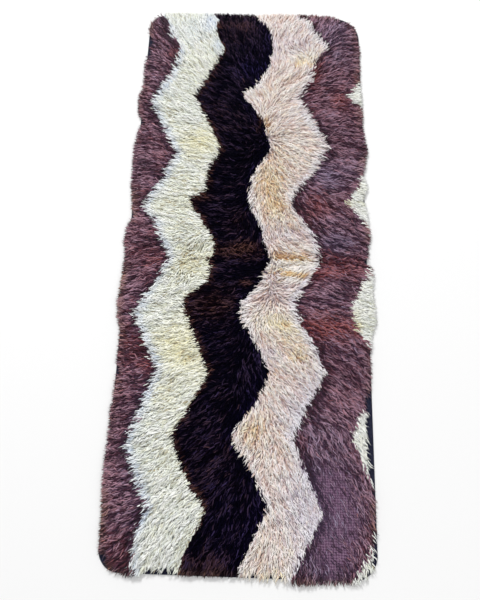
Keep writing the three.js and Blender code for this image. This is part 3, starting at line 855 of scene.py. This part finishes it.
def tints(path, stripe, tuft, layer):
    """For each lock, how warm, how cool and how light it is."""
    random = rng(layer["seeds"]["tint"])
    x, y, _ = path[:, -1].T
    count = len(x)
    kinds = [PLUSH[one["plush"]] for one in STRIPES]
    contrast, mottled, lighter = (
        np.array([kind[value] for kind in kinds])[stripe] for value in ("contrast", "mottled", "lighter")
    )
    # Darker in the partings between tufts and lighter along their middles: painted shade and painted
    # highlight
    light = LIGHT_SHARES["lock"] * random.normal(size=count) + LIGHT_SHARES["tuft"] * tuft
    for size in ("fine", "coarse"):
        light += LIGHT_SHARES[size] * noise(x, y, "light_" + size)
    # The under layer's lower light is painted shade under the top layer
    light = layer["light"] + contrast * light + lighter
    warm = mottled * (WARM_PLACES * np.clip(noise(x, y, "warm"), 0, 1) + random.normal(size=count))
    cool = mottled * (COOL_PLACES * np.clip(noise(x, y, "cool"), 0, 1) + random.normal(size=count))
    # Spots and fringes: some paint shade beside borders and in the creases, highlight and sheen on the
    # creases' upright locks, and light at the right rim
    places = [(spot, spot_share(x, y, spot)) for spot in rows_of(SPOT_FIELDS, SPOTS)]
    for fringe in rows_of(FRINGE_FIELDS, FRINGES):
        places.append((fringe, near_border(x, y, fringe["border"], fringe["middle"], fringe["width"])))
    for place, near in places:
        share = np.where(stripe == place["stripe"], near, 0)
        warm += place["warm"] * share
        cool += place["cool"] * share
        light += place["light"] * share
    return np.clip(np.column_stack([warm, cool, light]), 0, 1)


def tan_shares(path, stripe, seed):
    """How tan the tips of the dark locks are, from 0 to 1: at the rim, and unevenly."""
    x, y, _ = path[:, -1].T
    dark = np.isin(stripe, (MAUVE_LEFT, BLACK, MAUVE_RIGHT))
    near_rim = 1 - smooth(*TAN_REACH, inside(x, y))
    place = TAN_SHARES["everywhere"] + TAN_SHARES["uneven"] * noise(x, y, "tan")
    place += TAN_SHARES["near_end"] * smooth(*TAN_NEAR_END, y)
    most = np.where(stripe == BLACK, TAN_OF_BLACK, 1)
    return dark * most * near_rim * np.clip(place, 0, 1) * rng(seed).uniform(*TAN_SPREAD, len(x))


def mesh_object(name, vertices, triangles, materials):
    """A mesh of triangles. Vertices come in millimetres."""
    mesh = bpy.data.meshes.new(name)
    mesh.vertices.add(len(vertices))
    mesh.vertices.foreach_set("co", (vertices * MILLIMETRE).astype(np.float32).ravel())
    mesh.loops.add(triangles.size)
    mesh.loops.foreach_set("vertex_index", triangles.astype(np.int32).ravel())
    mesh.polygons.add(len(triangles))
    mesh.polygons.foreach_set("loop_start", np.arange(0, triangles.size, 3, dtype=np.int32))
    mesh.update(calc_edges=True)
    mesh.shade_smooth()
    for material in materials:
        mesh.materials.append(material)
    made = bpy.data.objects.new(name, mesh)
    bpy.context.scene.collection.objects.link(made)
    return made


def write_attribute(made, name, kind, domain, values):
    """Gives a mesh a named value for each of its points or corners, for its material to read."""
    attribute = made.data.attributes.new(name, kind, domain)
    key = "value" if kind == "FLOAT" else "vector"
    attribute.data.foreach_set(key, values.astype(np.float32).ravel())


def lock_pattern(rings):
    """One lock's triangles, and for each corner how far round and how far along the lock it is.

    A lock is a spindle: a root, rings of three corners and a tip."""
    shares = (0, *rings, 1)
    last = len(shares) - 1

    def vertex(level, corner):
        if level == 0:
            return 0
        if level == last:
            return 1 + LOCK_SIDES * len(rings)
        return 1 + LOCK_SIDES * (level - 1) + corner % LOCK_SIDES

    triangles, places = [], []

    def add(*corners):
        triangles.append([vertex(level, corner) for level, corner in corners])
        middle = (min(corner for _, corner in corners) + 0.5) / LOCK_SIDES
        round_it = [middle if level in (0, last) else corner / LOCK_SIDES for level, corner in corners]
        places.append([(turn, shares[level]) for turn, (level, _) in zip(round_it, corners)])

    for corner in range(LOCK_SIDES):
        add((0, corner), (1, corner + 1), (1, corner))
        for level in range(1, last - 1):
            add((level, corner), (level, corner + 1), (level + 1, corner + 1))
            add((level, corner), (level + 1, corner + 1), (level + 1, corner))
        add((last - 1, corner), (last - 1, corner + 1), (last, corner))
    return np.array(triangles), np.array(places)


def lock_vertices(path, widths, roll):
    """The vertices of each lock: its root, rings round the points of its path, and its tip."""
    forward = path[:, 2:] - path[:, :-2]
    forward /= np.linalg.norm(forward, axis=2, keepdims=True)
    aside = np.cross(forward, (0, 0, 1))
    aside /= np.maximum(np.linalg.norm(aside, axis=2, keepdims=True), 1e-6)
    upward = np.cross(aside, forward)
    angle = roll - 2 * np.pi * np.arange(LOCK_SIDES) / LOCK_SIDES
    wide = np.cos(angle)[..., None] * aside[:, :, None]
    high = np.sin(angle)[..., None] * upward[:, :, None]
    rings = path[:, 1:-1, None] + widths[:, :, None, None] * (wide + LOCK_FLATNESS * high)
    return np.concatenate([path[:, :1], rings.reshape(len(path), -1, 3), path[:, -1:]], axis=1)


def locks_object(name, locks, rings, material, seed):
    """Locks as one mesh, with the values that its material reads.

    They are each corner's place on its lock and the number of the lock, its tint, and how tan it is."""
    count = len(locks["path"])
    roll = rng(seed).uniform(0, 2 * np.pi, (count, 1, 1))
    vertices = lock_vertices(locks["path"], locks["widths"], roll)
    per_lock = vertices.shape[1]
    pattern, places = lock_pattern(rings)
    triangles = (np.arange(count) * per_lock)[:, None, None] + pattern[None, :, ::-1]
    made = mesh_object(name, vertices.reshape(-1, 3), triangles.reshape(-1, 3), [material])
    corners = np.broadcast_to(places[:, ::-1], (count, *places.shape))
    numbers = np.broadcast_to(np.arange(count)[:, None, None, None], (*corners.shape[:3], 1))
    write_attribute(made, "fibre", "FLOAT_VECTOR", "CORNER", np.concatenate([corners, numbers], axis=3))
    write_attribute(made, "tint", "FLOAT_VECTOR", "POINT", np.repeat(locks["tint"], per_lock, axis=0))
    write_attribute(made, "tan", "FLOAT", "POINT", np.repeat(locks["tan"], per_lock))
    return made


def colour(red, green, blue):
    """An sRGB colour, given from 0 to 255, as the linear one that nodes take."""
    shares = np.array((red, green, blue)) / 255
    linear = np.where(shares <= 0.04045, shares / 12.92, ((shares + 0.055) / 1.055) ** 2.4)
    return (*linear, 1)


class Nodes:
    """Short calls for building one material's nodes."""

    def __init__(self, name):
        self.material = bpy.data.materials.new(name)
        self.material.use_nodes = True
        self.tree = self.material.node_tree
        self.shader = self.tree.nodes["Principled BSDF"]

    def add(self, kind, values=None, links=None, **settings):
        node = self.tree.nodes.new(kind)
        for key, value in settings.items():
            setattr(node, key, value)
        for key, value in (values or {}).items():
            node.inputs[key].default_value = value
        for key, source in (links or {}).items():
            self.tree.links.new(source, node.inputs[key])
        return node

    def attribute(self, name):
        source = self.add("ShaderNodeAttribute", attribute_name=name).outputs["Vector"]
        return self.add("ShaderNodeSeparateXYZ", links={0: source})

    def place(self):
        return self.add("ShaderNodeTexCoord").outputs["Object"]

    def math(self, operation, first, second=None, third=None):
        node = self.add("ShaderNodeMath", operation=operation)
        for index, value in enumerate((first, second, third)):
            if isinstance(value, (int, float)):
                node.inputs[index].default_value = value
            elif value is not None:
                self.tree.links.new(value, node.inputs[index])
        return node.outputs[0]

    def blend(self, factor, first, second):
        sources = {0: factor, 6: first, 7: second}
        return self.add("ShaderNodeMix", links=sources, data_type="RGBA").outputs[2]

    def ramp(self, factor, stops):
        """Linear colours by their places from 0 to 1."""
        node = self.add("ShaderNodeValToRGB", links={0: factor})
        elements = node.color_ramp.elements
        while len(elements) < len(stops):
            elements.new(0.5)
        for element, (place, value) in zip(elements, stops):
            element.position = place
            element.color = value
        return node.outputs[0]

    def root_to_tip(self, factor, colours):
        return self.ramp(factor, [(stop / 2, colour(*value)) for stop, value in enumerate(colours)])

    def bump(self, height, strength, distance):
        values = {"Strength": strength, "Distance": distance}
        self.connect("Normal", self.add("ShaderNodeBump", values, {"Height": height}).outputs[0])

    def connect(self, socket, source):
        self.tree.links.new(source, self.shader.inputs[socket])

    def finish(self, **values):
        """Sets the shader's own values, whose names have _ for a space, and gives the material."""
        for socket, value in values.items():
            self.shader.inputs[socket.replace("_", " ")].default_value = value
        return self.material


def plush(name, colours):
    """Yarn: painted shade darkens it at the root and painted highlight pales it at the tip; warmer and cooler
    in places, each lock light or dark, with fine fibres.
    """
    nodes = Nodes("plush_" + name)
    round_it, along, number = nodes.attribute("fibre").outputs
    warm, cool, light = nodes.attribute("tint").outputs
    by_light = nodes.math("MULTIPLY", light, RAMP_SHARES["light"])
    # Along the lock the colours run from painted shade at the root to painted highlight at the tip
    place = nodes.math("MULTIPLY_ADD", along, RAMP_SHARES["along"], by_light)
    plain, warmer, cooler = (nodes.root_to_tip(place, colours[kind]) for kind in ("plain", "warm", "cool"))
    base = nodes.blend(cool, nodes.blend(warm, plain, warmer), cooler)
    tan = nodes.add("ShaderNodeAttribute", attribute_name="tan").outputs["Fac"]
    base = nodes.blend(nodes.math("MULTIPLY", tan, along), base, nodes.root_to_tip(place, TAN))
    stretched = {
        0: nodes.math("MULTIPLY", round_it, FIBRE_STRETCH["round"]),
        1: nodes.math("MULTIPLY", along, FIBRE_STRETCH["along"]),
        2: nodes.math("MULTIPLY", number, FIBRE_STRETCH["lock"]),
    }
    vector = nodes.add("ShaderNodeCombineXYZ", links=stretched).outputs[0]
    streak = nodes.add("ShaderNodeTexNoise", {"Scale": 1.0, "Detail": 2.0}, {"Vector": vector}).outputs[0]
    value = nodes.math("MULTIPLY_ADD", streak, *FIBRE_VALUE)
    shaded = nodes.add("ShaderNodeHueSaturation", {"Saturation": 1.0}, {"Color": base, "Value": value})
    nodes.connect("Base Color", shaded.outputs[0])
    nodes.connect("Roughness", nodes.math("MULTIPLY_ADD", streak, *FIBRE_ROUGHNESS))
    nodes.bump(streak, strength=0.5, distance=0.0006)
    shine = colours["shine"]
    return nodes.finish(Specular_IOR_Level=shine, Sheen_Weight=SHEEN_OF_SHINE * shine, Sheen_Roughness=0.5)


def knit(name, colours):
    """The matted body of the pile and the grid of its knit, which shows where the pile is pressed down.
    Painted shade darkens its low places.
    """
    nodes = Nodes("knit_" + name)
    place = nodes.place()
    wobble = nodes.add("ShaderNodeTexNoise", {"Scale": 60.0, "Detail": 3.0}, {"Vector": place})
    moved = nodes.add(
        "ShaderNodeVectorMath",
        values={1: (KNIT_WOBBLE, KNIT_WOBBLE, 0.0)},
        links={0: wobble.outputs["Color"], 2: place},
        operation="MULTIPLY_ADD",
    )
    axes = nodes.add("ShaderNodeSeparateXYZ", links={0: moved.outputs[0]})
    turns = 2 * math.pi / KNIT_PITCH
    columns, rows = (nodes.math("SINE", nodes.math("MULTIPLY", axes.outputs[axis], turns)) for axis in (0, 1))
    stitches = nodes.math("MULTIPLY_ADD", nodes.math("ADD", columns, rows), 0.25, 0.5)
    fuzz = nodes.add("ShaderNodeTexNoise", {"Scale": 900.0, "Detail": 4.0}, {"Vector": place}).outputs[0]
    stitches = nodes.math("MULTIPLY", stitches, KNIT_SHARES["stitches"])
    height = nodes.math("MULTIPLY_ADD", fuzz, KNIT_SHARES["fuzz"], stitches)
    # Low places take the darker colours, painted shade, and the highest paler ones, painted highlight
    root, body, tip = mix(np.array(colours["plain"]), np.array(colours["cool"]), KNIT_COOL)
    stops = [(0.15, colour(*root)), (0.5, colour(*body)), (1.0, colour(*mix(body, tip, KNIT_TOP)))]
    nodes.connect("Base Color", nodes.ramp(height, stops))
    nodes.bump(height, strength=0.8, distance=0.0015)
    return nodes.finish(Roughness=0.85, Specular_IOR_Level=0.25)


def felt():
    """The dark needled felt of the backing."""
    nodes = Nodes("dark_felt")
    place = nodes.place()
    fine = {"Scale": 700.0, "Detail": 6.0, "Roughness": 0.7}
    fuzz = nodes.add("ShaderNodeTexNoise", fine, {"Vector": place})
    needles = nodes.add("ShaderNodeTexVoronoi", {"Scale": 420.0}, {"Vector": place})
    height = nodes.math("MULTIPLY_ADD", needles.outputs["Distance"], NEEDLE_SHARE, fuzz.outputs[0])
    # Darker in the pits: painted shade
    nodes.connect("Base Color", nodes.ramp(height, [(stop, colour(*value)) for stop, value in FELT_STOPS]))
    nodes.bump(height, strength=0.6, distance=0.0008)
    return nodes.finish(Roughness=0.9, Specular_IOR_Level=0.2)


def make_camera():
    """The camera where the photo was taken from."""
    data = bpy.data.cameras.new("photo_camera")
    data.sensor_width = 36
    data.lens = CAMERA_LENS
    data.clip_start = 0.05
    data.clip_end = 30
    camera = bpy.data.objects.new("photo_camera", data)
    bpy.context.scene.collection.objects.link(camera)
    place, target = Vector(CAMERA_PLACE), Vector(CAMERA_TARGET)
    forward = (target - place).normalized()
    level_right = forward.cross(Vector((0, 0, 1))).normalized()
    level_up = level_right.cross(forward)
    roll = math.radians(CAMERA_ROLL)
    right = math.cos(roll) * level_right + math.sin(roll) * level_up
    up = right.cross(forward)
    turn = Matrix((right, up, -forward)).transposed().to_4x4()
    camera.matrix_world = Matrix.Translation(place) @ turn
    bpy.context.scene.camera = camera


def make_light(name, place, size, power):
    """A round soft light that faces the rug."""
    data = bpy.data.lights.new(name, "AREA")
    data.shape = "DISK"
    data.size = size
    data.energy = power
    light = bpy.data.objects.new(name, data)
    light.location = place
    light.rotation_euler = (-Vector(place)).to_track_quat("-Z", "Y").to_euler()
    bpy.context.scene.collection.objects.link(light)


def make_studio():
    """The lights, the pale surroundings and the pale floor."""
    for light in LIGHTS:
        make_light(**light)
    world = bpy.data.worlds.new("studio")
    world.use_nodes = True
    surroundings = world.node_tree.nodes["Background"].inputs
    surroundings["Color"].default_value = (1, 1, 1, 1)
    surroundings["Strength"].default_value = WORLD_STRENGTH
    bpy.context.scene.world = world
    bpy.context.scene.view_settings.view_transform = "Standard"
    corners = FLOOR_REACH * np.array([(-1, -1, 0), (1, -1, 0), (1, 1, 0), (-1, 1, 0)], float)
    material = Nodes("pale_floor").finish(Base_Color=(0.9, 0.9, 0.9, 1), Roughness=0.9)
    mesh_object("floor", corners, np.array([(0, 1, 2), (0, 2, 3)]), [material])


def bed_rows():
    """Where the bed's rows lie along the rug, and how far its round corners draw each of them in."""
    half = RUG_LENGTH / 2 - BED_INSETS[0]
    radius = BED_CORNER - BED_INSETS[0]
    turn = half - radius + radius * np.sin(np.linspace(0, np.pi / 2, CORNER_ROWS))
    straight = np.linspace(radius - half, half - radius, STRAIGHT_ROWS)
    rows = np.concatenate([-turn[:0:-1], straight, turn[1:]])
    past = np.maximum(0, np.abs(rows) - (half - radius))
    return rows, radius - np.sqrt(np.maximum(0, radius**2 - past**2))


def bed_columns(rows, corner):
    """Where the bed's columns lie across the rug, in even cells from each stripe's border to the next."""
    left, right = outline("left", rows), outline("right", rows)
    start = left + corner + mix(*BED_INSETS, rim_gap(left, rows))
    end = right - corner - mix(*BED_INSETS, rim_gap(right, rows))
    stripe_ends = [border(stripe["border"], rows) for stripe in STRIPES[1:]] + [end]
    columns = [start]
    for index, (count, stripe_end) in enumerate(zip(BED_CELLS, stripe_ends)):
        start = columns[-1]
        most = end - LEAST_STRIPE * (len(BED_CELLS) - 1 - index)
        stop = np.clip(stripe_end, start + LEAST_STRIPE, most) if index < len(BED_CELLS) - 1 else end
        columns += [mix(start, stop, (cell + 1) / count) for cell in range(count)]
    return np.stack(columns, axis=1)


def end_stretch(x, y):
    """How far a place near an end moves along the rug, to waver and to stop short at gaps in the rim."""
    half = RUG_LENGTH / 2
    share = smooth(END_STRETCH_START, half, np.abs(y))
    waver = np.where(y > 0, outline("far", x) - half, outline("near", x) + half)
    short = rim_gap(x, np.sign(y) * half) * (BED_INSETS[1] - BED_INSETS[0])
    return share * (waver - np.sign(y) * short)


def grid_triangles(height, width):
    """The triangles of a closed sheet, whose upper grid of vertices comes before its lower one."""
    near = (np.arange(height - 1)[:, None] * width + np.arange(width - 1)).ravel()
    upper = np.concatenate(
        [np.stack([near, near + 1, near + width + 1], 1), np.stack([near, near + width + 1, near + width], 1)]
    )
    below = height * width
    rim = np.concatenate(
        [
            np.arange(width - 1),
            np.arange(height - 1) * width + width - 1,
            np.arange(width - 1, 0, -1) + (height - 1) * width,
            np.arange(height - 1, 0, -1) * width,
        ]
    )
    after = np.roll(rim, -1)
    sides = np.concatenate(
        [np.stack([rim, rim + below, after + below], 1), np.stack([rim, after + below, after], 1)]
    )
    return np.concatenate([upper, upper[:, ::-1] + below, sides])


def make_bed():
    """The matted body of the pile: a lumpy sheet on the felt, its faces in the stripes' colours."""
    rows, corner = bed_rows()
    x = bed_columns(rows, corner)
    y = np.broadcast_to(rows[:, None], x.shape)
    y = y + end_stretch(x, y)
    sides = [np.stack([x, y, height], axis=2) for height in (bed_top(x, y), np.full_like(x, PILE_BOTTOM))]
    vertices = np.concatenate([side.reshape(-1, 3) for side in sides])
    triangles = grid_triangles(*x.shape)
    knits = [knit(name, colours) for name, colours in PLUSH.items()]
    made = mesh_object("pile_bed", vertices, triangles, knits)
    middle = vertices[triangles].mean(axis=1)
    slots = np.array([list(PLUSH).index(stripe["plush"]) for stripe in STRIPES], np.int32)
    made.data.polygons.foreach_set("material_index", slots[stripe_at(middle[:, 0], middle[:, 1])])
    return made


def make_pile():
    """Every lock of the rug, as one mesh for each stripe, half and layer."""
    made = []
    plushes = {name: plush(name, colours) for name, colours in PLUSH.items()}
    for layer_name, layer in LAYERS.items():
        path, widths, tuft = lock_paths(layer)
        stripe = stripes_of(path, layer["seeds"]["stripe"])
        every = {
            "path": path,
            "widths": widths,
            "tint": tints(path, stripe, tuft, layer),
            "tan": tan_shares(path, stripe, layer["seeds"]["tan"]),
        }
        far = path[:, 0, 1] > 0
        for index, kind in enumerate(STRIPES):
            for half_name, half in (("far", far), ("near", ~far)):
                chosen = (stripe == index) & half
                locks = {key: values[chosen] for key, values in every.items()}
                name = f"{kind['name']}_{half_name}_{layer_name}"
                seed = STRIPE_SEED_STEP * index
                piece = locks_object(name, locks, layer["rings"], plushes[kind["plush"]], seed)
                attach(piece, "root")
                made.append(piece)
    return made


make_camera()
make_studio()
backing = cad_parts["backing"]
backing.data.materials.clear()
backing.data.materials.append(felt())
pile = make_pile()
bed = make_bed()
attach(bed, "root")
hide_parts("pile")
